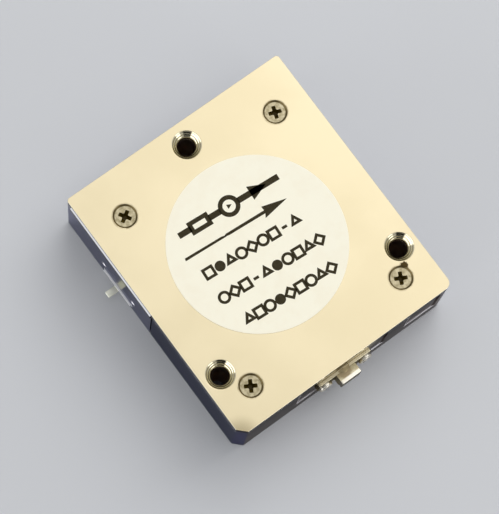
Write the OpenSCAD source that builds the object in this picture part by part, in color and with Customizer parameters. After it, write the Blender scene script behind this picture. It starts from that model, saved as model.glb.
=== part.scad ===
// Drop-in radio-frequency isolator: a plated steel housing closed by a screwed cover,
// with a ferrite and magnet stack inside, two solder tabs and a flanged load on the front.
// The origin is the centre of the base face. +Z is up, +X runs from the input tab to the
// output tab, and the load hangs on the -Y wall.

/* [Housing] */
// Width along X, from the input wall to the output wall
housing_w = 45; // [44:0.5:50]
// Length along Y, from the load wall to the plain wall
housing_l = 50.5; // [50:0.5:56]
// Height of the housing under its cover
housing_h = 12.8; // [12.8:0.1:14]
// Thickness of the floor under the cavity
floor_t = 1.4; // [1.2:0.1:1.4]
// Radius of the round cavity that takes the stack
cavity_r = 18; // [17:0.5:18]
// Distance of the cavity's centre from the middle, along Y
cavity_y = -1.8; // [-2.4:0.2:-1.2]

/* [Cover] */
// Thickness of the cover plate
cover_t = 2; // [1.6:0.1:2.4]
// Width of the bevelled lip over the input port
lip_w = 0.3; // [0.1:0.05:0.4]
// Drop of that lip below the top face
lip_drop = 0.5; // [0.3:0.1:0.9]
// Leg of the cut corner between the input wall and the load wall
corner_cut = 1.5; // [0.5:0.1:2]
// Radius of the corner between the output wall and the load wall
corner_r = 1.3; // [0.5:0.1:2]

/* [Mounting holes] */
// Radius of the three through holes
mount_hole_r = 1.6; // [1.4:0.1:1.7]
// Radius of their countersinks at the top face
mount_sink_r = 2.6; // [2.2:0.1:3]
// Distance of the single hole from the middle, along Y
mount_back_y = 21.2; // [20.8:0.1:21.6]
// Spacing of the pair of holes
mount_pair_x = 38.1; // [37.5:0.1:38.5]
// Distance of the pair from the middle, along Y
mount_pair_y = -14.6; // [-15:0.1:-14]

/* [Cover screws] */
// Spacing of the cover screws along X
screw_x = 32; // [31:0.2:33]
// Place of the back pair of cover screws along Y
screw_back_y = 17.1; // [16.6:0.1:17.6]
// Place of the front pair of cover screws along Y
screw_front_y = -19.15; // [-19.6:0.05:-18.8]
// Thread radius of the cover screws
screw_r = 1; // [0.8:0.1:1.1]
// Radius of the flat top of the screw heads
screw_head_r = 1.9; // [1.7:0.05:1.95]
// Length of the cover screws, head included
screw_l = 6; // [4:0.5:6.5]

/* [Ports] */
// Place of the input and output tabs along Y
port_y = 9.9; // [9:0.1:10.4]
// Width of the windows of the input and output ports
window_w = 8.5; // [7:0.1:8.8]
// Height of the port windows above the cavity's floor
window_h = 1; // [0.9:0.05:1.2]
// How far an insulator's lip stands out of its window
insulator_lip = 0.33; // [0.1:0.01:0.36]
// Reach of the input and output tabs beyond the wall
tab_reach = 2.4; // [1:0.05:3]
// Width of the tabs
tab_w = 1.25; // [0.8:0.05:1.5]
// Thickness of the tabs
tab_t = 0.35; // [0.25:0.05:0.4]

/* [Load] */
// Length of the load's flange
flange_l = 11.1; // [10.8:0.1:12]
// Height of the load's flange
flange_h = 4.4; // [4.2:0.1:5]
// Spacing of the load's two screws
flange_pitch = 8.5; // [8.4:0.1:9]
// How far the flange stands out of the wall
flange_proud = 0.4; // [0.3:0.05:0.8]
// Width of the load's ceramic chip
chip_w = 4; // [3:0.05:4.4]
// Thickness of the ceramic chip
chip_t = 1.2; // [1:0.05:1.4]
// Thickness of the ceramic lid on the chip
lid_t = 0.7; // [0.4:0.05:1]

/* [Label] */
// Radius of the round label
label_r = 15.75; // [10:0.25:16]

/* [Hidden] */

$fn = 96;
total_h = housing_h + cover_t;

// The back corners are only nicked. Cuts run past the faces that they open: through in
// the plain ones, skim in the cones. Slip is the gap round a piece that slides in.
nick = 0.4;
through = 1;
skim = 0.01;
slip = 0.01;

// The lip runs along the input wall, from a narrow upright slot near its middle to just
// short of the back corner.
slot_y = 0.2;
slot_w = 0.3;
slot_depth = 0.5;
lip_short = 1.45;
lip_start_y = slot_y + slot_w;
lip_end_y = housing_l / 2 - lip_short;

// The stack fills the cavity from the floor to the cover, piece on piece.
disc_r = cavity_r - 0.1;
ferrite_r = 14.5;
pole_disc_t = 0.4;
ferrite_t = 1.75;
conductor_t = 0.2;
ground_t = 0.5;
compensation_t = 0.6;
pole_plate_t = 1;
shim_t = 0.8;
pole_disc_z = floor_t;
lower_ferrite_z = pole_disc_z + pole_disc_t;
conductor_z = lower_ferrite_z + ferrite_t;
upper_ferrite_z = conductor_z + conductor_t;
ground_z = upper_ferrite_z + ferrite_t;
compensation_z = ground_z + ground_t;
magnet_z = compensation_z + compensation_t;
shim_z = housing_h - shim_t;
pole_plate_z = shim_z - pole_plate_t;
magnet_t = pole_plate_z - magnet_z;
magnet_r = 14.8;
shim_r = 15.5;

// The centre conductor: a disc with three stubs, and an arm to each port. An arm turns to
// its port at an elbow, narrows to a lead, and ends inside the wall, under its tab's lap.
hub_r = 7.5;
stub_w = 4.4;
stub_reach = 12.5;
arm_w = 3;
arm_narrows = 2;
lead_w = 1.6;
elbow_x = housing_w / 2 - 7;
arm_end = 3;
lap = 2.4;
lap_z = conductor_z + conductor_t;

// Cover screws sink a little below the face, in cones that fit the heads.
head_sink = 0.25;
screw_sink_r = screw_head_r + head_sink;
screw_hole_r = screw_r + 0.1;
spare_depth = 0.6;
tapped_depth = screw_l - cover_t + spare_depth;
screw_tip = 0.25;
cross_reach = 1.2;
cross_w = 0.7;
cross_depth = 1.2;
screw_places = [
  [-screw_x / 2, screw_back_y, 32],
  [screw_x / 2, screw_back_y, 71],
  [screw_x / 2, screw_front_y, -28],
  [-screw_x / 2, screw_front_y, -30]
];
mount_places = [
  [0, mount_back_y],
  [mount_pair_x / 2, mount_pair_y],
  [-mount_pair_x / 2, mount_pair_y]
];

// Each port has a low window at floor level, filled by its insulator, and behind it a
// narrower pocket where the tab steps up to the conductor. A pair of small tapped holes
// flanks each side window, at the same spacing as the load's screws.
mouth_l = 1.8;
pocket_w = 6;
load_window_w = 5;
load_pocket_w = 4;
pocket_l = 11;
window_corner_r = 0.3;
tab_lift = 0.3;
tab_z = floor_t + tab_lift;
tab_top_z = tab_z + tab_t;
tab_corner_r = 0.25;
riser_y = mouth_l + 0.4;
port_hole_z = 5;
port_hole_r = 0.6;
port_hole_l = 2.5;
port_hole_sink = 0.15;

// The load stands on the sill of a shallow seat milled in the front wall. A second
// shallow cut with the same sill lies nearer the output wall. Chip and lid end level with
// the flange's top, and start above its foot.
wall_y = -housing_l / 2;
seat_depth = 0.15;
seat_z = 4.1;
seat_run = 0.6;
seat_spans = [[-10, 9], [13.5, 20.3]];
flange_t = flange_proud + seat_depth;
flange_face_y = wall_y - flange_proud;
flange_screw_z = seat_z + flange_h / 2;
flange_hole_r = 0.9;
flange_corner_r = 0.3;
chip_lift = 0.4;
chip_bottom_z = seat_z + chip_lift;
chip_top_z = seat_z + flange_h;
chip_face_y = flange_face_y - chip_t;
pad_h = 0.65;
lid_bottom_z = chip_bottom_z + pad_h;
lid_corner_r = 0.15;
load_tab_reach = 1.45;

// The ribbon's width and thickness, how far its drop and its foot's tip stand out of the
// wall, and how far its slanting stretch falls
ribbon_w = 1.1;
ribbon_t = 0.15;
ribbon_drop = 1.1;
ribbon_foot = 0.4;
ribbon_slant = 0.65;
ribbon_gap = 0.05;

// The load's two pan-head screws
load_hole_l = 3.6;
load_thread_l = 3.2;
load_screw_r = 0.8;
load_head_r = 1.35;
load_head_h = 0.7;
load_cross_reach = 0.85;
load_cross_w = 0.36;
load_cross_depth = 0.5;

label_t = 0.1;
label_x = -0.43;

// Shapes used by more than one piece

// The blank's outline: the front corners are cut and rounded, the back ones just nicked.
module blank_outline() {
  difference() {
    square([housing_w, housing_l], center = true);
    translate([-housing_w / 2, -housing_l / 2])
      rotate(45)
        square(sqrt(2) * corner_cut, center = true);
    for (side = [-1, 1])
      translate([side * housing_w / 2, housing_l / 2])
        rotate(45)
          square(sqrt(2) * nick, center = true);
    translate([housing_w / 2, -housing_l / 2])
      difference() {
        square(2 * corner_r, center = true);
        translate([-corner_r, corner_r])
          circle(r = corner_r);
      }
  }
}

// A flat disc of the stack, in the cavity's axis
module stack_disc(r, z, t) {
  translate([0, cavity_y, z])
    cylinder(r = r, h = t);
}

// A flat ring of the stack
module stack_ring(outer_r, inner_r, z, t) {
  difference() {
    stack_disc(outer_r, z, t);
    stack_disc(inner_r, z - through, t + 2 * through);
  }
}

// A rectangle with rounded corners, about the origin
module rounded_rectangle(width, height, r) {
  square([width - 2 * r, height], center = true);
  square([width, height - 2 * r], center = true);
  for (x = [-1, 1], y = [-1, 1])
    translate([x * (width / 2 - r), y * (height / 2 - r)])
      circle(r = r);
}

// A window's prism, lying along -Y from the origin, its lower side at the cavity's floor
module window_prism(width, length, grow) {
  translate([0, 0, floor_t + window_h / 2])
    rotate([90, 0, 0])
      linear_extrude(length)
        rounded_rectangle(width + grow, window_h + grow, window_corner_r);
}

// What a port takes out of the housing: the window, and the pocket from it to the cavity
module port_cut(width, inner_w) {
  translate([0, wall_y + mouth_l, 0])
    window_prism(width, mouth_l + through, 0);
  translate([-inner_w / 2, wall_y + mouth_l, floor_t])
    cube([inner_w, pocket_l, housing_h]);
}

// Turns a piece that is drawn for the front port to the input or the output port
module at_side_port(side) {
  translate([side * (housing_w / 2 + wall_y), port_y, 0])
    rotate([0, 0, side * 90])
      children();
}

// A port's insulator: it fills the window round the tab, with a lip over the tab outside
module port_insulator(width) {
  difference() {
    union() {
      translate([0, wall_y + mouth_l, 0])
        window_prism(width, mouth_l, -2 * slip);
      translate([-width / 2 + window_corner_r, wall_y - insulator_lip, tab_top_z])
        cube([width - 2 * window_corner_r, insulator_lip, floor_t + window_h - tab_top_z - slip]);
    }
    translate([0, wall_y + mouth_l / 2, tab_z + tab_t / 2])
      cube([tab_w + 2 * slip, mouth_l + 2 * through, tab_t], center = true);
  }
}

// A solder tab, formed from strip: it laps the conductor, steps down behind the window
// and runs out through it
module port_tab(reach) {
  outer_y = wall_y - reach;
  inner_y = wall_y + arm_end + lap;
  step_y = wall_y + riser_y;
  tip_l = 1;
  translate([0, 0, tab_z])
    linear_extrude(tab_t) {
      translate([0, outer_y + tip_l / 2])
        rounded_rectangle(tab_w, tip_l, tab_corner_r);
      translate([-tab_w / 2, outer_y + tip_l / 2])
        square([tab_w, step_y + tab_t - outer_y - tip_l / 2]);
    }
  translate([-tab_w / 2, step_y, tab_z])
    cube([tab_w, tab_t, lap_z + tab_t - tab_z]);
  translate([-tab_w / 2, step_y, lap_z])
    cube([tab_w, inner_y - step_y, tab_t]);
}

// A pan head on z = 0, with its rim rounded off
module pan_head(r, h) {
  rim = h * 0.55;
  rotate_extrude()
    union() {
      square([r, h - rim]);
      square([r - rim, h]);
      translate([r - rim, h - rim])
        intersection() {
          circle(r = rim);
          square(rim);
        }
    }
}

// A cross recess cut downwards from z = 0: four arms that slope in towards the bottom,
// and a round flare where they meet
module cross_recess(reach, width, depth) {
  intersection() {
    translate([0, 0, -depth])
      cylinder(r1 = width * 0.55, r2 = reach, h = depth + skim);
    union() {
      cube([2 * reach + through, width, 3 * depth], center = true);
      cube([width, 2 * reach + through, 3 * depth], center = true);
    }
  }
  translate([0, 0, -depth])
    cylinder(r1 = width * 0.5, r2 = width * 0.85, h = depth + skim);
}

// Casing

// The housing is milled from one block: cavity, ports, holes, seat and slot
module housing() {
  color([0.80, 0.77, 0.70])
    difference() {
      linear_extrude(housing_h)
        blank_outline();
      stack_disc(cavity_r, floor_t, housing_h);
      // the two side ports with their tapped holes, and the load's port
      for (side = [-1, 1])
        at_side_port(side) {
          port_cut(window_w, pocket_w);
          for (end = [-1, 1])
            translate([end * flange_pitch / 2, wall_y, port_hole_z])
              rotate([-90, 0, 0]) {
                translate([0, 0, -through])
                  cylinder(r = port_hole_r, h = port_hole_l + through);
                translate([0, 0, -skim])
                  cylinder(r1 = port_hole_r + port_hole_sink + skim, r2 = port_hole_r,
                           h = port_hole_sink + skim);
              }
        }
      port_cut(load_window_w, load_pocket_w);
      // through holes
      for (place = mount_places)
        translate([place[0], place[1], -through])
          cylinder(r = mount_hole_r, h = housing_h + 2 * through);
      // tapped holes for the cover screws
      for (place = screw_places)
        translate([place[0], place[1], housing_h - tapped_depth])
          cylinder(r = screw_r, h = tapped_depth + through);
      // seat of the load and the cut beside it, which run out at both ends
      for (span = seat_spans)
        translate([0, wall_y, seat_z])
          linear_extrude(housing_h)
            polygon([[span[0], 0], [span[0] + seat_run, seat_depth],
                     [span[1] - seat_run, seat_depth], [span[1], 0],
                     [span[1], -through], [span[0], -through]]);
      // tapped holes of the load
      for (side = [-1, 1])
        translate([side * flange_pitch / 2, wall_y - through, flange_screw_z])
          rotate([-90, 0, 0])
            cylinder(r = load_screw_r, h = load_hole_l + through);
      // narrow slot in the input wall
      translate([-housing_w / 2 - through, slot_y, -through])
        cube([slot_depth + through, slot_w, housing_h + 2 * through]);
    }
}

// The cover plate, with countersinks for its screws and for the mounting screws
module cover_plate() {
  sink_h = mount_sink_r - mount_hole_r;
  screw_sink_h = screw_sink_r - screw_hole_r;
  color([0.95, 0.91, 0.78])
    difference() {
      union() {
        translate([0, 0, housing_h])
          linear_extrude(cover_t)
            blank_outline();
        translate([-housing_w / 2, lip_end_y, housing_h])
          rotate([90, 0, 0])
            linear_extrude(lip_end_y - lip_start_y)
              polygon([[1, 0], [-lip_w, 0], [-lip_w, cover_t - lip_drop - lip_w],
                       [0, cover_t - lip_drop], [1, cover_t - lip_drop]]);
      }
      for (place = mount_places)
        translate([place[0], place[1], 0]) {
          translate([0, 0, housing_h - through])
            cylinder(r = mount_hole_r, h = cover_t + 2 * through);
          translate([0, 0, total_h - sink_h])
            cylinder(r1 = mount_hole_r, r2 = mount_sink_r + skim, h = sink_h + skim);
        }
      for (place = screw_places)
        translate([place[0], place[1], 0]) {
          translate([0, 0, housing_h - through])
            cylinder(r = screw_hole_r, h = cover_t + 2 * through);
          translate([0, 0, total_h - screw_sink_h])
            cylinder(r1 = screw_hole_r, r2 = screw_sink_r + skim, h = screw_sink_h + skim);
        }
    }
}

// One countersunk screw, its flat top at z = 0
module cover_screw() {
  cone_h = screw_head_r - screw_r;
  difference() {
    union() {
      translate([0, 0, -cone_h])
        cylinder(r1 = screw_r, r2 = screw_head_r, h = cone_h);
      translate([0, 0, -screw_l])
        cylinder(r1 = screw_r - screw_tip, r2 = screw_r, h = screw_tip);
      translate([0, 0, screw_tip - screw_l])
        cylinder(r = screw_r, h = screw_l - cone_h - screw_tip);
    }
    cross_recess(cross_reach, cross_w, cross_depth);
  }
}

// The four cover screws, each left at the turn where it came tight
module cover_screws() {
  color([0.80, 0.75, 0.62])
    for (place = screw_places)
      translate([place[0], place[1], total_h - head_sink])
        rotate(place[2])
          cover_screw();
}

// The round label stuck on the cover
module label() {
  color([0.99, 0.96, 0.89])
    translate([label_x, 0, total_h])
      cylinder(r = label_r, h = label_t);
}

// Stack, from the floor upwards

module lower_pole_disc() {
  color([0.70, 0.70, 0.72])
    stack_disc(disc_r, pole_disc_z, pole_disc_t);
}

module lower_ferrite() {
  color([0.20, 0.19, 0.20])
    stack_disc(ferrite_r, lower_ferrite_z, ferrite_t);
}

module lower_ferrite_ring() {
  color([0.93, 0.90, 0.84])
    stack_ring(disc_r, ferrite_r, lower_ferrite_z, ferrite_t);
}

// The conductor is one sheet: hub, stubs, three arms and the narrow leads that the tabs lap
module centre_conductor() {
  arm_angle = atan2(port_y - cavity_y, elbow_x);
  arm_l = norm([elbow_x, port_y - cavity_y]);
  color([0.90, 0.80, 0.58])
    translate([0, 0, conductor_z])
      linear_extrude(conductor_t)
        union() {
          translate([0, cavity_y]) {
            circle(r = hub_r);
            for (angle = [90, 210, 330])
              rotate(angle)
                translate([0, -stub_w / 2])
                  square([stub_reach, stub_w]);
            for (angle = [arm_angle, 180 - arm_angle])
              rotate(angle)
                translate([0, -arm_w / 2])
                  square([arm_l, arm_w]);
          }
          for (side = [-1, 1]) {
            translate([side * elbow_x, port_y])
              circle(r = arm_w / 2);
            translate([side * (elbow_x + housing_w / 2 - arm_end) / 2, port_y])
              square([housing_w / 2 - arm_end - elbow_x, lead_w], center = true);
          }
          translate([-arm_w / 2, cavity_y - disc_r + arm_narrows])
            square([arm_w, disc_r - arm_narrows]);
          translate([-lead_w / 2, wall_y + arm_end])
            square([lead_w, -wall_y - arm_end + cavity_y]);
        }
}

module upper_ferrite() {
  color([0.20, 0.19, 0.20])
    stack_disc(ferrite_r, upper_ferrite_z, ferrite_t);
}

module upper_ferrite_ring() {
  color([0.93, 0.90, 0.84])
    stack_ring(disc_r, ferrite_r, upper_ferrite_z, ferrite_t);
}

module ground_disc() {
  color([0.86, 0.76, 0.55])
    stack_disc(disc_r, ground_z, ground_t);
}

module compensation_disc() {
  color([0.62, 0.62, 0.64])
    stack_disc(disc_r, compensation_z, compensation_t);
}

module magnet() {
  color([0.30, 0.29, 0.29])
    stack_disc(magnet_r, magnet_z, magnet_t);
}

module magnet_ring() {
  color([0.85, 0.86, 0.88])
    stack_ring(disc_r, magnet_r, magnet_z, magnet_t);
}

module pole_plate() {
  color([0.70, 0.70, 0.72])
    stack_disc(disc_r, pole_plate_z, pole_plate_t);
}

module pressure_shim() {
  color([0.45, 0.45, 0.46])
    stack_disc(shim_r, shim_z, shim_t);
}

// Ports

module input_insulator() {
  color([0.96, 0.96, 0.94])
    at_side_port(-1)
      port_insulator(window_w);
}

module output_insulator() {
  color([0.96, 0.96, 0.94])
    at_side_port(1)
      port_insulator(window_w);
}

module load_insulator() {
  color([0.96, 0.96, 0.94])
    port_insulator(load_window_w);
}

module input_tab() {
  color([0.88, 0.88, 0.78])
    at_side_port(-1)
      port_tab(tab_reach);
}

module output_tab() {
  color([0.88, 0.88, 0.78])
    at_side_port(1)
      port_tab(tab_reach);
}

module load_tab() {
  color([0.88, 0.88, 0.78])
    port_tab(load_tab_reach);
}

// Load

// The flange carries the chip and takes the two screws
module load_flange() {
  color([0.78, 0.72, 0.60])
    translate([0, wall_y + seat_depth, 0])
      difference() {
        translate([0, 0, flange_screw_z])
          rotate([90, 0, 0])
            linear_extrude(flange_t)
              rounded_rectangle(flange_l, flange_h, flange_corner_r);
        for (side = [-1, 1])
          translate([side * flange_pitch / 2, through, flange_screw_z])
            rotate([90, 0, 0])
              cylinder(r = flange_hole_r, h = flange_t + 2 * through);
      }
}

// The ceramic chip that turns the returned power into heat
module load_chip() {
  color([0.93, 0.92, 0.86])
    translate([-chip_w / 2, chip_face_y, chip_bottom_z])
      cube([chip_w, chip_t, chip_top_z - chip_bottom_z]);
}

// The ceramic lid over the chip's resistive film
module load_lid() {
  color([0.97, 0.95, 0.88])
    translate([0, chip_face_y, (lid_bottom_z + chip_top_z) / 2])
      rotate([90, 0, 0])
        linear_extrude(lid_t)
          rounded_rectangle(chip_w, chip_top_z - lid_bottom_z, lid_corner_r);
}

// The ribbon from the chip's pad: down, in towards the wall, down again and along the tab
module load_lead() {
  pad = chip_t + flange_proud;
  pad_z = lid_bottom_z - ribbon_gap;
  bend_z = chip_bottom_z - 2 * ribbon_t;
  color([0.86, 0.80, 0.66])
    translate([-ribbon_w / 2, wall_y, 0])
      rotate([90, 0, 90])
        linear_extrude(ribbon_w)
          polygon([
            [-pad, pad_z],
            [-pad - ribbon_t, pad_z],
            [-pad - ribbon_t, bend_z],
            [-ribbon_drop - ribbon_t, bend_z - ribbon_slant],
            [-ribbon_drop - ribbon_t, tab_top_z],
            [-ribbon_foot, tab_top_z],
            [-ribbon_foot, tab_top_z + ribbon_t],
            [-ribbon_drop, tab_top_z + ribbon_t],
            [-ribbon_drop, bend_z - ribbon_slant + ribbon_gap],
            [-pad, bend_z + ribbon_gap]
          ]);
}

// A flat mound of solder drawn up over the top of the flange and the chip
module load_fillet() {
  mound_r = 1.3;
  mound_h = 0.5;
  mound_x = -0.25;
  mound_y = wall_y + 0.4;
  ball_r = (mound_r * mound_r + mound_h * mound_h) / (2 * mound_h);
  color([0.66, 0.60, 0.46])
    intersection() {
      translate([mound_x, mound_y, chip_top_z + mound_h - ball_r])
        sphere(r = ball_r);
      translate([mound_x - ball_r, wall_y - 2 * mound_r, chip_top_z])
        cube([2 * ball_r, 2 * mound_r, 2 * mound_h]);
    }
}

// A bead of solder that holds the ribbon's foot on the tab
module load_solder() {
  bead_r = 0.45;
  bead_h = 0.3;
  ball_r = (bead_r * bead_r + bead_h * bead_h) / (2 * bead_h);
  bead_z = tab_top_z + ribbon_t;
  color([0.76, 0.75, 0.72])
    intersection() {
      translate([0, wall_y - (ribbon_drop + ribbon_foot) / 2, bead_z + bead_h - ball_r])
        sphere(r = ball_r);
      translate([-bead_r, wall_y - ribbon_drop, bead_z])
        cube([2 * bead_r, ribbon_drop - ribbon_foot, 2 * bead_h]);
    }
}

// The two pan-head screws of the load
module load_screws() {
  color([0.82, 0.80, 0.74])
    for (side = [-1, 1])
      translate([side * flange_pitch / 2, flange_face_y, flange_screw_z])
        rotate([90, 0, 0])
          difference() {
            union() {
              pan_head(load_head_r, load_head_h);
              translate([0, 0, -flange_proud - load_thread_l])
                cylinder(r = load_screw_r, h = flange_proud + load_thread_l);
            }
            translate([0, 0, load_head_h])
              rotate(20 * side)
                cross_recess(load_cross_reach, load_cross_w, load_cross_depth);
          }
}

housing();
cover_plate();
cover_screws();
label();
lower_pole_disc();
lower_ferrite();
lower_ferrite_ring();
centre_conductor();
upper_ferrite();
upper_ferrite_ring();
ground_disc();
compensation_disc();
magnet();
magnet_ring();
pole_plate();
pressure_shim();
input_insulator();
output_insulator();
load_insulator();
input_tab();
output_tab();
load_tab();
load_flange();
load_chip();
load_lid();
load_lead();
load_fillet();
load_solder();
load_screws();
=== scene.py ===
import math

import bmesh
import bpy
import numpy as np
from mathutils import Matrix, Vector


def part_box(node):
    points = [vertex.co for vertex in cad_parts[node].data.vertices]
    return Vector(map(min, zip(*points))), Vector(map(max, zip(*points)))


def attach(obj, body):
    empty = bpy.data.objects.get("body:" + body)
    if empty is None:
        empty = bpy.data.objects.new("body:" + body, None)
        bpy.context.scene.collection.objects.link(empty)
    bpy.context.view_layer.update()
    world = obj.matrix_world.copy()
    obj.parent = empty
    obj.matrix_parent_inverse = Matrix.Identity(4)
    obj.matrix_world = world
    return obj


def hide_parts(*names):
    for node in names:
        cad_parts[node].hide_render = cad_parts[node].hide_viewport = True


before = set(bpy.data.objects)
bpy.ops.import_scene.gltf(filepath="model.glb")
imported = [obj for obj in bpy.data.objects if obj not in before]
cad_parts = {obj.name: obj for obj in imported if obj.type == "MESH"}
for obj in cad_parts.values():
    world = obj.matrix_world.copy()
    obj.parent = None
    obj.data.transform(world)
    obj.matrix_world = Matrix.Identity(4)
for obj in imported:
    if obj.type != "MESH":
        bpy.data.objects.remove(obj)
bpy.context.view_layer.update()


def mm(*values):
    """Millimetres to metres: one number for one value, a tuple for several."""
    scaled = tuple(value / 1000.0 for value in values)
    return scaled[0] if len(scaled) == 1 else scaled


# Camera
# The photo looks down on the cover from its input and load side, so both of those walls
# show as thin bands. The values come from fitting the cover's four corners and the label.
photo_w, photo_h = 499, 514
focal_px = 2463.4
sensor_mm = 36.0
camera_tilt = math.radians(13.56)
camera_turn = math.radians(-50.89)
camera_roll = math.radians(-36.42)
camera_distance = mm(420.63)
cover_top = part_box("cover_plate")[1][2]
camera_target = Vector((*mm(-2.94, -1.08), cover_top))
back = Vector((
    math.sin(camera_turn) * math.sin(camera_tilt),
    -math.cos(camera_turn) * math.sin(camera_tilt),
    math.cos(camera_tilt),
))
up = Vector((-math.sin(camera_roll), math.cos(camera_roll), 0.0))
side = up.cross(back).normalized()
axes = Matrix((side, back.cross(side), back)).transposed()
camera_data = bpy.data.cameras.new("camera")
camera_data.sensor_fit = "AUTO"
camera_data.sensor_width = sensor_mm
camera_data.lens = focal_px / max(photo_w, photo_h) * sensor_mm
camera_data.clip_start, camera_data.clip_end = 0.01, 20.0
camera = bpy.data.objects.new("camera", camera_data)
bpy.context.scene.collection.objects.link(camera)
camera.matrix_world = Matrix.Translation(camera_target + back * camera_distance) @ axes.to_4x4()
bpy.context.scene.camera = camera


# Table and light
# A plain pale table top. A wide softbox overhead is what the satin cover mirrors, and a
# second wide lamp, lower on the output side, throws the block's soft shadow.
def new_material(name):
    """A material whose only nodes are a Principled shader and the output."""
    material = bpy.data.materials.new(name)
    material.use_nodes = True
    return material, material.node_tree, material.node_tree.nodes["Principled BSDF"]


def constant(value):
    """A number as it is, or an (r, g, b) colour with its fourth value."""
    return (*value, 1.0) if isinstance(value, tuple) else value


def set_sockets(node, values):
    """Writes numbers and colours to a node's own sockets."""
    for socket, value in values.items():
        node.inputs[socket].default_value = constant(value)


table_reach = 3.0
table_mesh = bpy.data.meshes.new("table_top")
table_mesh.from_pydata(
    [(-table_reach, -table_reach, 0), (table_reach, -table_reach, 0),
     (table_reach, table_reach, 0), (-table_reach, table_reach, 0)],
    [], [(0, 1, 2, 3)])
table_top = bpy.data.objects.new("table_top", table_mesh)
bpy.context.scene.collection.objects.link(table_top)
table_paint, _, shader = new_material("table_paint")
set_sockets(shader, {"Base Color": (0.62, 0.63, 0.65), "Roughness": 0.6})
table_mesh.materials.append(table_paint)


def area_lamp(name, place, size, radiance):
    """A square lamp aimed at the part; its power is radiance times area times pi."""
    data = bpy.data.lights.new(name, "AREA")
    data.shape = "SQUARE"
    data.size = size
    data.energy = radiance * size * size * math.pi
    lamp = bpy.data.objects.new(name, data)
    lamp.location = place
    lamp.rotation_mode = "QUATERNION"
    lamp.rotation_quaternion = Vector(place).to_track_quat("Z", "Y")
    bpy.context.scene.collection.objects.link(lamp)


area_lamp("softbox", (0.62, 0.20, 1.05), 1.3, 0.985)
area_lamp("side_lamp", (1.00, 0.47, 0.71), 1.4, 1.10)


def join(tree, operand, socket):
    """Puts another socket, a number or a colour into a socket."""
    if hasattr(operand, "links"):
        tree.links.new(operand, socket)
    else:
        socket.default_value = constant(operand)


def calc(tree, operation, first, second=0.0):
    """A Math node; each operand is a socket or a number. Returns its output."""
    node = tree.nodes.new("ShaderNodeMath")
    node.operation = operation
    join(tree, first, node.inputs[0])
    join(tree, second, node.inputs[1])
    return node.outputs[0]


def both(tree, first, second):
    """Where two masks meet: their product."""
    return calc(tree, "MULTIPLY", first, second)


def rise(tree, value, start, end, low=0.0, high=1.0):
    """A smooth step from low to high while the value goes from start to end."""
    node = tree.nodes.new("ShaderNodeMapRange")
    node.interpolation_type = "SMOOTHSTEP"
    join(tree, value, node.inputs["Value"])
    join(tree, start, node.inputs["From Min"])
    join(tree, end, node.inputs["From Max"])
    join(tree, low, node.inputs["To Min"])
    join(tree, high, node.inputs["To Max"])
    return node.outputs["Result"]


def level_length(tree, across, along):
    """The length of a level arrow: the root of the sum of its squares."""
    squares = calc(tree, "ADD", calc(tree, "MULTIPLY", across, across),
                   calc(tree, "MULTIPLY", along, along))
    return calc(tree, "SQRT", squares)


# The room is even and pale, with bright stretches low down beyond the input wall and the
# load wall, and a darker one between them. Each has a heading and half a width in degrees,
# and a brightness. It fades out at its ends, and upwards from 19 to 27 degrees.
room = bpy.data.worlds.new("room")
room.use_nodes = True
tree = room.node_tree
look = tree.nodes.new("ShaderNodeSeparateXYZ")
tree.links.new(tree.nodes.new("ShaderNodeTexCoord").outputs["Generated"], look.inputs[0])
look_x, look_y, look_z = look.outputs
full_height, end_height = 0.32, 0.46
low_down = rise(tree, look_z, end_height, full_height)
fade_out, fade_in = 6.0, 4.0
strength = 0.52
for heading, half_width, brightness in ((175.0, 31.0, 1.6), (286.0, 11.0, 1.4),
                                        (232.0, 22.0, -0.50)):
    ahead = math.radians(heading)
    towards = calc(tree, "ADD", calc(tree, "MULTIPLY", look_x, math.cos(ahead)),
                   calc(tree, "MULTIPLY", look_y, math.sin(ahead)))
    aligned = calc(tree, "DIVIDE", towards, level_length(tree, look_x, look_y))
    in_sight = rise(tree, aligned, math.cos(math.radians(half_width + fade_out)),
                    math.cos(math.radians(half_width - fade_in)))
    strength = calc(tree, "ADD", strength,
                    calc(tree, "MULTIPLY", both(tree, in_sight, low_down), brightness))
background = tree.nodes["Background"]
join(tree, strength, background.inputs["Strength"])
set_sockets(background, {"Color": (0.97, 0.98, 1.0)})
bpy.context.scene.world = room
bpy.context.scene.view_settings.view_transform = "Standard"


# Housing
# Milled from a steel block and plated with bright nickel. The walls are polished and
# mirror the table top and the tabs; the cavity, the pockets and the bores stay milled.
def absolute(tree, value):
    """A value without its sign."""
    return calc(tree, "ABSOLUTE", value)


def either(tree, first, second):
    """Where at least one of two masks is: the larger of them."""
    return calc(tree, "MAXIMUM", first, second)


def outside(tree, mask):
    """Where a mask isn't."""
    return calc(tree, "SUBTRACT", 1.0, mask)


def between(tree, mask, low, high):
    """A number that is low outside a mask and high in it."""
    return rise(tree, mask, 0.0, 1.0, low, high)


def blend(tree, mask, first, second):
    """The first colour outside a mask and the second in it."""
    node = tree.nodes.new("ShaderNodeMix")
    node.data_type = "RGBA"
    factor_socket, first_socket, second_socket = (node.inputs[index] for index in (0, 6, 7))
    join(tree, mask, factor_socket)
    join(tree, first, first_socket)
    join(tree, second, second_socket)
    return node.outputs[2]


def coats(tree, ground, *masked):
    """Lays (mask, colour) pairs over a ground colour, one on the other."""
    for mask, colour in masked:
        ground = blend(tree, mask, ground, colour)
    return ground


def split(tree, output):
    """X, Y and Z of an output of the Texture Coordinate node."""
    node = tree.nodes.new("ShaderNodeTexCoord")
    parts = tree.nodes.new("ShaderNodeSeparateXYZ")
    tree.links.new(node.outputs[output], parts.inputs[0])
    return parts.outputs


def place_of(tree):
    """The point's x, y and z on the part, in metres."""
    return split(tree, "Object")


def facing_of(tree):
    """The x, y and z of the surface's direction."""
    return split(tree, "Normal")


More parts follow.
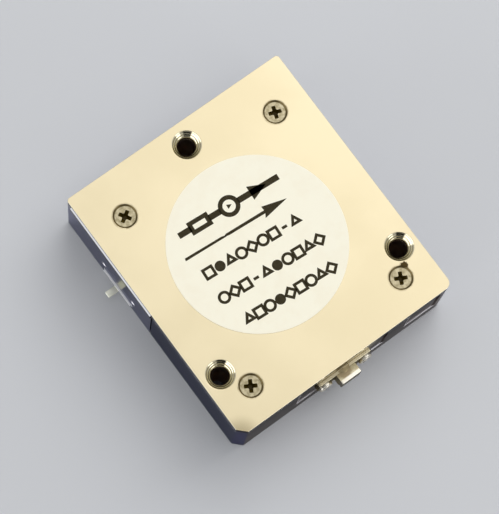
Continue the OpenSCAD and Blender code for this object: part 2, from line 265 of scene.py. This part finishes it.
def distance_from(tree, place, x, y):
    """The distance in plan from the upright axis through x and y."""
    return level_length(tree, calc(tree, "SUBTRACT", place["X"], x),
                        calc(tree, "SUBTRACT", place["Y"], y))


def noise(tree, scale, detail=3.0, roughness=0.5):
    """Noise on the part's own coordinates, from about 0.3 to about 0.7."""
    place = tree.nodes.new("ShaderNodeTexCoord")
    texture = tree.nodes.new("ShaderNodeTexNoise")
    join(tree, scale, texture.inputs["Scale"])
    set_sockets(texture, {"Detail": detail, "Roughness": roughness})
    tree.links.new(place.outputs["Object"], texture.inputs["Vector"])
    return texture.outputs["Fac"]


def bumped(tree, height, strength, distance):
    """A Bump node for that height; distance is how far a height of 1 stands proud."""
    node = tree.nodes.new("ShaderNodeBump")
    set_sockets(node, {"Distance": distance})
    join(tree, strength, node.inputs["Strength"])
    join(tree, height, node.inputs["Height"])
    return node


def shader_group(name, inputs, outputs):
    """An empty node group with named inputs (name: default) and outputs (name: type)."""
    group = bpy.data.node_groups.new(name, "ShaderNodeTree")
    for label, default in inputs.items():
        kind = "NodeSocketColor" if isinstance(default, tuple) else "NodeSocketFloat"
        socket = group.interface.new_socket(name=label, in_out="INPUT", socket_type=kind)
        socket.default_value = constant(default)
    for label, kind in outputs.items():
        group.interface.new_socket(name=label, in_out="OUTPUT", socket_type=kind)
    given = group.nodes.new("NodeGroupInput").outputs
    result = group.nodes.new("NodeGroupOutput").inputs
    return group, given, result


# Plating: slow clouds in tone and gloss, and a fine grain that breaks up the mirror
plating, given, result = shader_group(
    "plating",
    {"Base": (0.7, 0.7, 0.7), "Shade": (0.6, 0.6, 0.6), "Cloud scale": 60.0,
     "Gloss low": 0.2, "Gloss high": 0.3, "Grain scale": 9000.0, "Grain depth": 0.1},
    {"Colour": "NodeSocketColor", "Roughness": "NodeSocketFloat", "Normal": "NodeSocketVector"})
clouds = rise(plating, noise(plating, given["Cloud scale"], 4.0, 0.55), 0.32, 0.68)
grain = noise(plating, given["Grain scale"], 2.0, 0.6)
join(plating, blend(plating, clouds, given["Base"], given["Shade"]), result["Colour"])
join(plating, between(plating, clouds, given["Gloss low"], given["Gloss high"]),
     result["Roughness"])
join(plating, bumped(plating, grain, given["Grain depth"], mm(0.01)).outputs["Normal"],
     result["Normal"])


def finished(name, group, settings, shader_settings):
    """A material with a finish group in it, its tree, its shader and the group's outputs."""
    material, tree, shader = new_material(name)
    node = tree.nodes.new("ShaderNodeGroup")
    node.node_tree = group
    set_sockets(node, settings)
    set_sockets(shader, shader_settings)
    finish = node.outputs
    for label, socket in (("Colour", "Base Color"), ("Roughness", "Roughness"),
                          ("Normal", "Normal")):
        if label in finish:
            tree.links.new(finish[label], shader.inputs[socket])
    return material, tree, shader, finish


def plated_metal(name, base, shade, gloss, grain_depth=0.1, cloud_scale=60.0):
    """A metal with the plating's finish: two colours and the lowest and highest roughness."""
    return finished(name, plating, {
        "Base": base, "Shade": shade, "Cloud scale": cloud_scale,
        "Gloss low": gloss[0], "Gloss high": gloss[1], "Grain depth": grain_depth,
    }, {"Metallic": 1.0})


def finish_node(name, material):
    """Gives a CAD node its material in place of the one that it was packed with."""
    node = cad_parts[name]
    if not node.material_slots:
        node.data.materials.append(material)
    for slot in node.material_slots:
        slot.material = material


def softened_copy(name, width):
    """A copy of a CAD node with a narrow chamfer on its sharp edges, shown in its place."""
    flat, sharp, smooth = (math.radians(degrees) for degrees in (0.3, 35.0, 14.0))
    shape = bmesh.new()
    shape.from_mesh(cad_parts[name].data)
    bmesh.ops.remove_doubles(shape, verts=shape.verts, dist=mm(0.001))
    bmesh.ops.dissolve_limit(shape, angle_limit=flat, verts=shape.verts, edges=shape.edges)
    corners = [edge for edge in shape.edges
               if edge.is_manifold and edge.calc_face_angle() > sharp]
    bmesh.ops.bevel(shape, geom=corners, offset=width, segments=1, profile=0.5,
                    affect="EDGES", clamp_overlap=True)
    for face in shape.faces:
        face.smooth = True
    for edge in shape.edges:
        edge.smooth = edge.is_manifold and edge.calc_face_angle() < smooth
    mesh = bpy.data.meshes.new(name + "_dressed")
    shape.to_mesh(mesh)
    shape.free()
    mesh.materials.append(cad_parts[name].material_slots[0].material)
    piece = bpy.data.objects.new(name + "_dressed", mesh)
    bpy.context.scene.collection.objects.link(piece)
    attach(piece, "root")
    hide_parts(name)


# Where the through holes stand, and how the walls are told apart
hole_places = [mm(0.0, 21.2), mm(19.05, -14.6), mm(-19.05, -14.6)]


def nearest_hole(tree, place):
    """The distance in plan to the nearest of the three through holes."""
    first, second, third = (distance_from(tree, place, *hole) for hole in hole_places)
    return calc(tree, "MINIMUM", calc(tree, "MINIMUM", first, second), third)


def square_to(tree, part_of_facing):
    """Where the surface faces squarely against the axis of that part of its direction."""
    return rise(tree, part_of_facing, -0.8, -0.95)


def cut_corner_of(tree, facing):
    """Where the surface faces between the input wall and the load wall."""
    return both(tree, rise(tree, facing["X"], -0.4, -0.6), rise(tree, facing["Y"], -0.4, -0.6))


def load_width_of(tree, place):
    """The middle stretch of the load wall, faded out beyond the load's flange."""
    return rise(tree, absolute(tree, place["X"]), *mm(8.4, 4.4))


body_nickel, tree, shader, finish = plated_metal(
    "body_nickel", (0.50, 0.50, 0.525), (0.44, 0.44, 0.465), (0.03, 0.06), 0.015)
place, facing = place_of(tree), facing_of(tree)
across, along = absolute(tree, place["X"]), absolute(tree, place["Y"])
load_wall = square_to(tree, facing["Y"])
input_wall = square_to(tree, facing["X"])
cut_corner = cut_corner_of(tree, facing)
top_strip = rise(tree, place["Z"], *mm(6.0, 11.5))

# The walls' plating is toned down, a painted shade for the shadowed floor that they mirror.
# The load wall is warmer in tone, and a little darker near the cover, a painted shade. The
# input wall is darker on the near side of its slot.
near_part = both(tree, input_wall, rise(tree, place["Y"], *mm(0.25, 0.15)))
load_wall_tone, top_strip_shade_tone = (0.46, 0.43, 0.43), (0.37, 0.34, 0.30)
near_part_tone = (0.38, 0.385, 0.405)
wall_tone = coats(tree, finish["Colour"],
                  (load_wall, blend(tree, top_strip, load_wall_tone, top_strip_shade_tone)),
                  (near_part, near_part_tone))

# Seen aslant the polish darkens and turns bluish, a painted shade: least on the far part of
# the input wall and most on the load wall. Two painted reflections keep it bright: a slanting
# band where the tab is mirrored in the wall, and a patch over the load where the flange is.
tab_image_y, tab_image_lean = mm(10.2), 0.152
from_image = calc(tree, "SUBTRACT", calc(tree, "ADD", place["Y"], calc(
    tree, "MULTIPLY", place["Z"], tab_image_lean)), tab_image_y)
painted_tab_reflection = both(tree, input_wall, rise(tree, absolute(tree, from_image), *mm(0.95, 0.55)))
painted_flange_reflection = both(tree, both(tree, load_width_of(tree, place),
                          rise(tree, place["Z"], *mm(7.8, 9.0))), load_wall)
wall_shade_slant, near_part_shade_slant = (0.40, 0.41, 0.52), (0.19, 0.20, 0.27)
cut_corner_shade_slant = (0.20, 0.20, 0.305)
load_wall_shade_slant, top_strip_shade_slant = (0.12, 0.095, 0.085), (0.02, 0.0, 0.0)
painted_tab_reflection_tint, painted_flange_reflection_tint = (0.95, 0.93, 0.80), (0.62, 0.55, 0.40)
join(tree, coats(tree, wall_shade_slant,
                 (load_wall, blend(tree, top_strip, load_wall_shade_slant, top_strip_shade_slant)),
                 (near_part, near_part_shade_slant), (painted_tab_reflection, painted_tab_reflection_tint),
                 (cut_corner, cut_corner_shade_slant), (painted_flange_reflection, painted_flange_reflection_tint)),
     shader.inputs["Specular Tint"])

# Everything inside the walls is milled. The sills of the windows and seats are cooler in
# tone. The bores are painted shade: dark brown at the mouth, lighter further down.
on_outside = either(tree, either(tree, rise(tree, across, *mm(21.9, 22.1)),
                                 rise(tree, along, *mm(24.7, 24.9))),
                    rise(tree, calc(tree, "ADD", across, along), *mm(45.5, 45.8)))
level = rise(tree, absolute(tree, facing["Z"]), 0.3, 0.5)
milled = either(tree, outside(tree, on_outside), level)
on_sill = either(tree, rise(tree, across, *mm(20.6, 20.9)), rise(tree, along, *mm(24.6, 24.9)))
in_bore = both(tree, rise(tree, nearest_hole(tree, place), *mm(1.9, 1.7)), outside(tree, level))
milled_tone, sill_tone = (0.74, 0.71, 0.62), (0.64, 0.63, 0.66)
bore_mouth_shade_tone, deep_bore_shade_tone = (0.07, 0.045, 0.03), (0.42, 0.25, 0.12)
deep_down = rise(tree, place["Z"], *mm(11.5, 6.5))
inner_tone = coats(tree, milled_tone, (on_sill, sill_tone),
                   (in_bore, blend(tree, deep_down, bore_mouth_shade_tone, deep_bore_shade_tone)))
join(tree, blend(tree, milled, wall_tone, inner_tone), shader.inputs["Base Color"])
join(tree, outside(tree, in_bore), shader.inputs["Metallic"])
join(tree, between(tree, milled, finish["Roughness"], 0.3), shader.inputs["Roughness"])
finish_node("housing", body_nickel)
softened_copy("housing", mm(0.05))


# Ports
# White fluoropolymer insulators pressed into the three windows, and silvered strip tabs
# that run out through them. The tabs are lightly yellowed.

# Mottle: specks of a second colour in the first, and a faintly uneven surface
mottle, given, result = shader_group(
    "mottle",
    {"Base": (0.8, 0.8, 0.8), "Speck": (0.7, 0.7, 0.7), "Speck scale": 2500.0,
     "Bump depth": 0.1},
    {"Colour": "NodeSocketColor", "Normal": "NodeSocketVector"})
specks = noise(mottle, given["Speck scale"], 4.0, 0.6)
join(mottle, blend(mottle, rise(mottle, specks, 0.42, 0.66), given["Base"], given["Speck"]),
     result["Colour"])
join(mottle, bumped(mottle, specks, given["Bump depth"], mm(0.02)).outputs["Normal"],
     result["Normal"])


def mottled_solid(name, base, speck, roughness, bump_depth=0.1, speck_scale=2500.0):
    """A ceramic, plastic or film with the mottle's finish."""
    return finished(name, mottle, {
        "Base": base, "Speck": speck, "Speck scale": speck_scale, "Bump depth": bump_depth,
    }, {"Roughness": roughness})


ptfe = mottled_solid("ptfe", (0.96, 0.96, 0.98), (0.90, 0.90, 0.93), 0.35, 0.05)[0]
for name in ("input_insulator", "output_insulator", "load_insulator"):
    finish_node(name, ptfe)
    softened_copy(name, mm(0.04))
tab_silver = plated_metal("tab_silver", (0.95, 0.95, 0.82), (0.84, 0.84, 0.68), (0.30, 0.42),
                          0.15, cloud_scale=700.0)[0]
for name in ("input_tab", "output_tab", "load_tab"):
    finish_node(name, tab_silver)
    softened_copy(name, mm(0.05))


# Stack
# The discs that fill the cavity, from the floor up: soft iron, ferrite in its ceramic ring,
# the conductor, ferrite again, a brass ground disc, iron, the magnet in its ring, and the
# pole plate that the cover presses down through an elastomer shim.
soft_iron = plated_metal("soft_iron", (0.50, 0.50, 0.52), (0.42, 0.42, 0.44),
                         (0.35, 0.45), 0.3, cloud_scale=120.0)[0]
ferrite = mottled_solid("ferrite", (0.045, 0.040, 0.045), (0.075, 0.065, 0.070), 0.35, 0.15)[0]
ring_ceramic = mottled_solid("ring_ceramic", (0.84, 0.81, 0.73), (0.76, 0.73, 0.65), 0.55)[0]
conductor_silver = plated_metal("conductor_silver", (0.88, 0.84, 0.74), (0.80, 0.75, 0.63),
                                (0.20, 0.30), cloud_scale=200.0)[0]
ground_brass = plated_metal("ground_brass", (0.78, 0.60, 0.30), (0.68, 0.50, 0.24),
                            (0.25, 0.35), 0.2, cloud_scale=150.0)[0]
magnet_ferrite = mottled_solid("magnet_ferrite", (0.085, 0.080, 0.080), (0.055, 0.050, 0.050),
                               0.6, 0.4, 1200.0)[0]
ring_aluminium = plated_metal("ring_aluminium", (0.80, 0.80, 0.82), (0.72, 0.72, 0.75),
                              (0.30, 0.40), 0.3)[0]
shim_elastomer = mottled_solid("shim_elastomer", (0.16, 0.16, 0.17), (0.24, 0.24, 0.25),
                               0.8, 0.5, 4000.0)[0]
for name, material in (
        ("lower_pole_disc", soft_iron), ("lower_ferrite", ferrite),
        ("lower_ferrite_ring", ring_ceramic), ("centre_conductor", conductor_silver),
        ("upper_ferrite", ferrite), ("upper_ferrite_ring", ring_ceramic),
        ("ground_disc", ground_brass), ("compensation_disc", soft_iron),
        ("magnet", magnet_ferrite), ("magnet_ring", ring_aluminium),
        ("pole_plate", soft_iron), ("pressure_shim", shim_elastomer)):
    finish_node(name, material)


# Cover plate
# A flat steel plate screwed down on the block, with a satin champagne nickel finish on
# its face. Its edge, its lip and the countersinks were cut after blasting and are
# polished. A patchy dark ring round the screws is partly grime and partly painted shade.
screw_rows = mm(17.1, -19.15)
screw_column = mm(16.0)


def nearest_screw(tree, place):
    """The distance in plan to the nearest cover screw; they stand in mirrored columns."""
    off_column = calc(tree, "SUBTRACT", absolute(tree, place["X"]), screw_column)
    off_rows = [absolute(tree, calc(tree, "SUBTRACT", place["Y"], row)) for row in screw_rows]
    return level_length(tree, off_column, calc(tree, "MINIMUM", *off_rows))


def patchy(tree, scale, low, high):
    """A number that wanders between low and high over the surface, as the noise does."""
    return rise(tree, noise(tree, scale), 0.3, 0.7, low, high)


cover_nickel, tree, shader, finish = plated_metal(
    "cover_nickel", (0.712, 0.619, 0.413), (0.687, 0.594, 0.389), (0.30, 0.34), 0.05)
place, facing = place_of(tree), facing_of(tree)
levelness = absolute(tree, facing["Z"])
cut_edge = rise(tree, levelness, 0.93, 0.85)
upright = rise(tree, levelness, 0.3, 0.2)
from_screw = nearest_screw(tree, place)
from_hole = nearest_hole(tree, place)

# The face is darker towards the cut corner, has a patchy dark ring round the screws,
# partly grime and partly painted shade, and has a spot of dirt between the right screw and
# its hole
corner_place, spot_place = mm(-22.5, -25.25), mm(17.7, -17.75)
darker_corner = rise(tree, distance_from(tree, place, *corner_place), *mm(4.2, 1.2), 0.0, 0.75)
grime_and_shade = both(tree, rise(tree, from_screw, *mm(2.45, 2.15)), patchy(tree, 900.0, 0.15, 0.7))
from_spot = calc(tree, "ADD", distance_from(tree, place, *spot_place),
                 patchy(tree, 2500.0, *mm(-0.15, 0.15)))
spot = rise(tree, from_spot, *mm(0.85, 0.65))
darker_corner_tone, grime_and_shade_tone, spot_tone = (0.36, 0.30, 0.18), (0.16, 0.12, 0.05), (0.055, 0.037, 0.013)
face_tone = coats(tree, finish["Colour"], (darker_corner, darker_corner_tone), (grime_and_shade, grime_and_shade_tone),
                  (spot, spot_tone))

# The edge, lip, bores and sinks, and the cones, where the tool left fine rings. The
# bores and the screws' countersinks are painted dark, a painted shade.
front_edge = square_to(tree, facing["Y"])
cut_corner = cut_corner_of(tree, facing)
on_lip = both(tree, rise(tree, place["X"], *mm(-22.45, -22.52)), outside(tree, upright))
in_bore = both(tree, upright, rise(tree, from_hole, *mm(1.9, 1.7)))
in_sink = rise(tree, from_screw, *mm(2.4, 2.2))
in_cone = both(tree, calc(tree, "SUBTRACT", cut_edge, upright),
               rise(tree, from_hole, *mm(2.9, 2.7)))
ring_pitch = mm(0.33)
rings = calc(tree, "SINE", calc(tree, "MULTIPLY", from_hole, 2.0 * math.pi / ring_pitch))
ring_lines = both(tree, in_cone, rise(tree, rings, 0.2, 0.9, 0.0, 0.7))
slope_tone, edge_tone, front_edge_tone = (0.72, 0.67, 0.50), (0.40, 0.39, 0.40), (0.46, 0.41, 0.31)
cut_corner_tone, lip_tone, sink_shade_tone = (0.40, 0.38, 0.36), (0.34, 0.34, 0.35), (0.20, 0.15, 0.065)
cone_tone, ring_tone = (0.86, 0.79, 0.57), (0.28, 0.25, 0.16)
cut_tone = coats(tree, slope_tone, (upright, edge_tone), (front_edge, front_edge_tone),
                 (cut_corner, cut_corner_tone), (on_lip, lip_tone), (in_bore, bore_mouth_shade_tone),
                 (in_sink, sink_shade_tone), (in_cone, cone_tone), (ring_lines, ring_tone))
join(tree, blend(tree, cut_edge, face_tone, cut_tone), shader.inputs["Base Color"])
join(tree, outside(tree, in_bore), shader.inputs["Metallic"])
join(tree, between(tree, cut_edge, finish["Roughness"], between(tree, in_sink, 0.10, 0.4)),
     shader.inputs["Roughness"])
ring_bump = bumped(tree, both(tree, rings, in_cone), 1.0, mm(0.005))
tree.links.new(finish["Normal"], ring_bump.inputs["Normal"])
join(tree, ring_bump.outputs["Normal"], shader.inputs["Normal"])

# Seen aslant the edges darken, a painted shade, most at the cut corner and on the front
# edge, except over the load, where a painted reflection of the flange keeps it bright
edge_shade_slant, cut_corner_shade_slant = (0.42, 0.42, 0.42), (0.15, 0.15, 0.18)
front_edge_shade_slant, painted_flange_reflection_tint = (0.0, 0.0, 0.0), (0.72, 0.67, 0.56)
join(tree, coats(tree, edge_shade_slant,
                 (both(tree, front_edge, upright),
                  blend(tree, load_width_of(tree, place), front_edge_shade_slant, painted_flange_reflection_tint)),
                 (cut_corner, cut_corner_shade_slant)),
     shader.inputs["Specular Tint"])
finish_node("cover_plate", cover_nickel)
softened_copy("cover_plate", mm(0.05))


# Cover screws
# Four countersunk steel screws with cross recesses, nickel-plated and a little dulled,
# and darkened in the recesses and round the rims.
screw_nickel, tree, shader, finish = plated_metal(
    "screw_nickel", (0.48, 0.42, 0.28), (0.30, 0.255, 0.15), (0.26, 0.36), 0.2,
    cloud_scale=1500.0)
set_sockets(shader, {"Specular IOR Level": 0.15})
place = place_of(tree)
head_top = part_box("cover_screws")[1][2]
recess = rise(tree, place["Z"], head_top - mm(0.04), head_top - mm(0.12))
rim = rise(tree, nearest_screw(tree, place), *mm(1.76, 1.88), 0.0, 0.8)
dark_recess_and_rim = either(tree, recess, rim)
recess_and_rim_tone = (0.065, 0.042, 0.004)
join(tree, blend(tree, dark_recess_and_rim, finish["Colour"], recess_and_rim_tone), shader.inputs["Base Color"])
join(tree, outside(tree, dark_recess_and_rim), shader.inputs["Metallic"])
join(tree, between(tree, dark_recess_and_rim, finish["Roughness"], 0.5), shader.inputs["Roughness"])
finish_node("cover_screws", screw_nickel)


# Load
# A plated flange, held by two small screws, carries a ceramic chip under a pale ceramic
# lid, with a ribbon down to the third tab. Old solder and flux have pooled on top of it.
def steep_of(tree, facing):
    """Where the surface stands upright or faces down."""
    return rise(tree, facing["Z"], 0.6, 0.3)


def paint_steep_shade(tree, shader, steep, slant):
    """Gives the steep faces that edge tint, a painted shade, and leaves the level ones clear."""
    join(tree, blend(tree, steep, (1.0, 1.0, 1.0), slant), shader.inputs["Specular Tint"])


flange_nickel, tree, shader, _ = plated_metal(
    "flange_nickel", (0.80, 0.73, 0.53), (0.68, 0.61, 0.42), (0.25, 0.38), 0.15,
    cloud_scale=500.0)
# The flange's steep faces get a painted shade
paint_steep_shade(tree, shader, steep_of(tree, facing_of(tree)), (0.05, 0.04, 0.02))
finish_node("load_flange", flange_nickel)

# The chip is darker near the wall and stained round the pool of solder. Its steep sides
# are a darker tone with a painted shade.
chip_ceramic, tree, shader, finish = mottled_solid(
    "chip_ceramic", (0.93, 0.85, 0.60), (0.76, 0.66, 0.43), 0.4, 0.1, 1500.0)
place, steep = place_of(tree), steep_of(tree, facing_of(tree))
uneven = patchy(tree, 1800.0, *mm(-0.2, 0.2))
near_wall = rise(tree, calc(tree, "ADD", place["Y"], uneven), *mm(-27.2, -26.1), 0.0, 0.75)
pool_place = mm(-0.5, -25.7)
from_pool = calc(tree, "ADD", distance_from(tree, place, *pool_place), uneven)
near_pool = rise(tree, from_pool, *mm(1.6, 1.1), 0.0, 0.8)
near_wall_tone, flux_tone, chip_side_shade_tone = (0.45, 0.38, 0.20), (0.36, 0.27, 0.15), (0.62, 0.56, 0.42)
join(tree, coats(tree, finish["Colour"], (near_wall, near_wall_tone), (near_pool, flux_tone),
                 (steep, chip_side_shade_tone)), shader.inputs["Base Color"])
join(tree, between(tree, steep, 0.6, 1.0), shader.inputs["Metallic"])
paint_steep_shade(tree, shader, steep, (0.03, 0.02, 0.0))
finish_node("load_chip", chip_ceramic)

lid_ceramic, tree, shader, _ = mottled_solid(
    "lid_ceramic", (0.98, 0.93, 0.80), (0.94, 0.87, 0.70), 0.3, 0.05, 1500.0)
steep = steep_of(tree, facing_of(tree))
join(tree, between(tree, steep, 0.8, 1.0), shader.inputs["Metallic"])
# The lid's steep faces get a painted shade
paint_steep_shade(tree, shader, steep, (0.05, 0.05, 0.06))
finish_node("load_lid", lid_ceramic)
for name, slot in (("load_flange", "flange_nickel"), ("load_chip", "chip_ceramic"),
                   ("load_lid", "lid_ceramic")):
    softened_copy(name, mm(0.06))

lead_silver = plated_metal("lead_silver", (0.82, 0.78, 0.66), (0.70, 0.66, 0.54),
                           (0.25, 0.35))[0]
solder_dull = plated_metal("solder_dull", (0.50, 0.41, 0.24), (0.37, 0.29, 0.15),
                           (0.35, 0.5), 0.3, cloud_scale=900.0)[0]
solder_bright = plated_metal("solder_bright", (0.72, 0.71, 0.68), (0.60, 0.59, 0.56),
                             (0.15, 0.25), 0.2, cloud_scale=900.0)[0]
load_screw_nickel = plated_metal("load_screw_nickel", (0.80, 0.76, 0.66), (0.66, 0.61, 0.50),
                                 (0.14, 0.22), cloud_scale=700.0)[0]
for name, material in (("load_lead", lead_silver), ("load_fillet", solder_dull),
                       ("load_solder", solder_bright), ("load_screws", load_screw_nickel)):
    finish_node(name, material)


# Label
# A round label, die-cut from cream polyester film with a faint mottle. It is stuck on the
# cover by its own adhesive, clear of the screws.
label_film = mottled_solid(
    "label_film", (1.0, 0.955, 0.775), (0.985, 0.93, 0.745), 0.45, 0.02, 300.0)[0]
finish_node("label", label_film)


# Label print
# Dark ink, printed askew on the film: an arrow towards the output, the drawing symbol of
# an isolator above it, and three rows of small plain shapes. Drawn in millimetres.
def at_heights(outlines, low, high):
    """The points of some outlines at the low height, and again at the high one."""
    flat = np.vstack([np.asarray(outline, float) for outline in outlines])
    return np.vstack([np.column_stack([flat, np.full(len(flat), height)])
                      for height in (low, high)])


def prism(outline, low, high):
    """An upright prism: corner k of the outline at both heights, k + n above k."""
    count = len(outline)
    k = np.arange(count)
    after = np.roll(k, -1)
    sides = np.column_stack([k, after, count + after, count + k])
    faces = [k[::-1].tolist(), (count + k).tolist(), *sides.tolist()]
    return at_heights([outline], low, high), faces


def hollow_prism(outer, inner, low, high):
    """An upright prism between two outlines of n points: the hole's points follow n on."""
    count = len(outer)
    k, top = np.arange(count), 2 * count
    after = np.roll(k, -1)
    o, o2, i, i2 = k, after, count + k, count + after
    quads = [(o, i, i2, o2), (top + o, top + o2, top + i2, top + i),
             (o, o2, top + o2, top + o), (i, top + i, top + i2, i2)]
    faces = np.stack([np.column_stack(quad) for quad in quads], axis=1).reshape(-1, 4)
    return at_heights([outer, inner], low, high), faces.tolist()


def regular(x, y, radius, sides, turned=0.0):
    """A regular polygon about a point, with its first corner at that angle in degrees."""
    angle = np.radians(turned) + np.arange(sides) * 2.0 * math.pi / sides
    return np.column_stack([x + radius * np.cos(angle), y + radius * np.sin(angle)])


def stroke(line, width):
    """The outline of a line of points drawn with a flat pen: half its width to each side."""
    line = np.asarray(line, float)
    ahead = np.gradient(line, axis=0)
    ahead /= np.linalg.norm(ahead, axis=1)[:, None]
    across = np.column_stack([-ahead[:, 1], ahead[:, 0]]) * width / 2.0
    return np.vstack([line - across, (line + across)[::-1]])


pen = 0.5
solid_shapes, hollow_shapes = [], []

# The arrow: a shaft with a thin place before its middle, and a slim slanted head
solid_shapes.append([(-12.1, 3.80), (-3.9, 3.84), (-3.6, 4.02), (-4.6, 4.28), (-12.0, 4.30)])
solid_shapes.append([(-4.4, 3.98), (-3.3, 3.80), (4.0, 3.80), (3.6, 3.05), (8.6, 4.10),
                     (4.0, 5.15), (4.1, 4.36), (-3.7, 4.32)])

# The symbol: a ring with a small arrowhead in it, a lead on each side, a resistor on the
# left lead and an arrowhead on the right one
symbol_x, symbol_y, symbol_r = -0.6, 8.15, 1.95
ring_wall, lead_width, lead_lap, smooth_ring = 0.8, 1.1, 0.2, 48
hollow_shapes.append((regular(symbol_x, symbol_y, symbol_r, smooth_ring),
                      regular(symbol_x, symbol_y, symbol_r - ring_wall, smooth_ring)))
for start, end in ((-10.8, -8.3), (-4.7, symbol_x - symbol_r + lead_lap),
                   (symbol_x + symbol_r - lead_lap, 9.4)):
    solid_shapes.append(stroke([(start, symbol_y), (end, symbol_y)], lead_width))
hollow_shapes.append((
    [(-8.6, 6.9), (-4.5, 6.9), (-4.5, 9.4), (-8.6, 9.4)],
    [(-7.8, 7.7), (-5.3, 7.7), (-5.3, 8.6), (-7.8, 8.6)]))
solid_shapes.append([(3.7, 6.8), (6.9, symbol_y), (3.7, 9.5)])
solid_shapes.append([(symbol_x - 0.35, 7.75), (symbol_x + 0.55, symbol_y + 0.05),
                     (symbol_x - 0.35, 8.6)])

# Three rows of plain shapes: for each row its left end, foot, pitch and shapes, and for
# each shape its sides, the turn of its first corner and its radius
print_rows = [
    (-10.6, -1.16, 2.18, "square disc triangle ring diamond ring square dash triangle"),
    (-10.7, -6.17, 2.14, "ring diamond square dash triangle disc ring square triangle diamond"),
    (-9.0, -11.45, 2.08, "triangle square ring disc diamond square ring triangle diamond"),
]
mark_sides = {"square": (4, 45.0, 1.55), "triangle": (3, 90.0, 1.36), "diamond": (4, 0.0, 1.32),
              "ring": (40, 0.0, 1.15), "disc": (40, 0.0, 0.95)}
half_mark, mark_rise, half_dash = 0.85, 1.2, 0.5
for left, foot, pitch, marks in print_rows:
    for index, mark in enumerate(marks.split()):
        x, y = left + pitch * index + half_mark, foot + mark_rise
        if mark == "dash":
            solid_shapes.append(stroke([(x - half_dash, y), (x + half_dash, y)], pen))
            continue
        sides, turned, radius = mark_sides[mark]
        outer = regular(x, y, radius, sides, turned)
        if mark == "disc":
            solid_shapes.append(outer)
        else:
            inner_radius = radius - pen / math.cos(math.pi / sides)
            hollow_shapes.append((outer, regular(x, y, inner_radius, sides, turned)))

# All of the shapes in one mesh, from just above the film's face to the top of the ink,
# turned with the label and set on it
ink_low, ink_high = 0.002, 0.014
shapes = [prism(outline, ink_low, ink_high) for outline in solid_shapes]
shapes += [hollow_prism(outer, inner, ink_low, ink_high) for outer, inner in hollow_shapes]
faces, first = [], 0
for shape_corners, shape_faces in shapes:
    faces += [[first + index for index in face] for face in shape_faces]
    first += len(shape_corners)
label_low, label_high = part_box("label")
label_place = ((label_low[0] + label_high[0]) / 2.0, (label_low[1] + label_high[1]) / 2.0,
               label_high[2])
skew = math.radians(-3.9)
skewed = np.array([[math.cos(skew), math.sin(skew), 0.0],
                   [-math.sin(skew), math.cos(skew), 0.0], [0.0, 0.0, 1.0]])
corners = np.vstack([shape_corners for shape_corners, _ in shapes]) / 1000.0 @ skewed
print_mesh = bpy.data.meshes.new("label_print")
print_mesh.from_pydata((corners + label_place).tolist(), [], faces)
label_print = bpy.data.objects.new("label_print", print_mesh)
bpy.context.scene.collection.objects.link(label_print)
print_ink, _, shader, _ = mottled_solid(
    "print_ink", (0.034, 0.026, 0.009), (0.045, 0.036, 0.016), 0.6, 0.05, 1500.0)
set_sockets(shader, {"Specular IOR Level": 0.15})
print_mesh.materials.append(print_ink)
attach(label_print, "root")
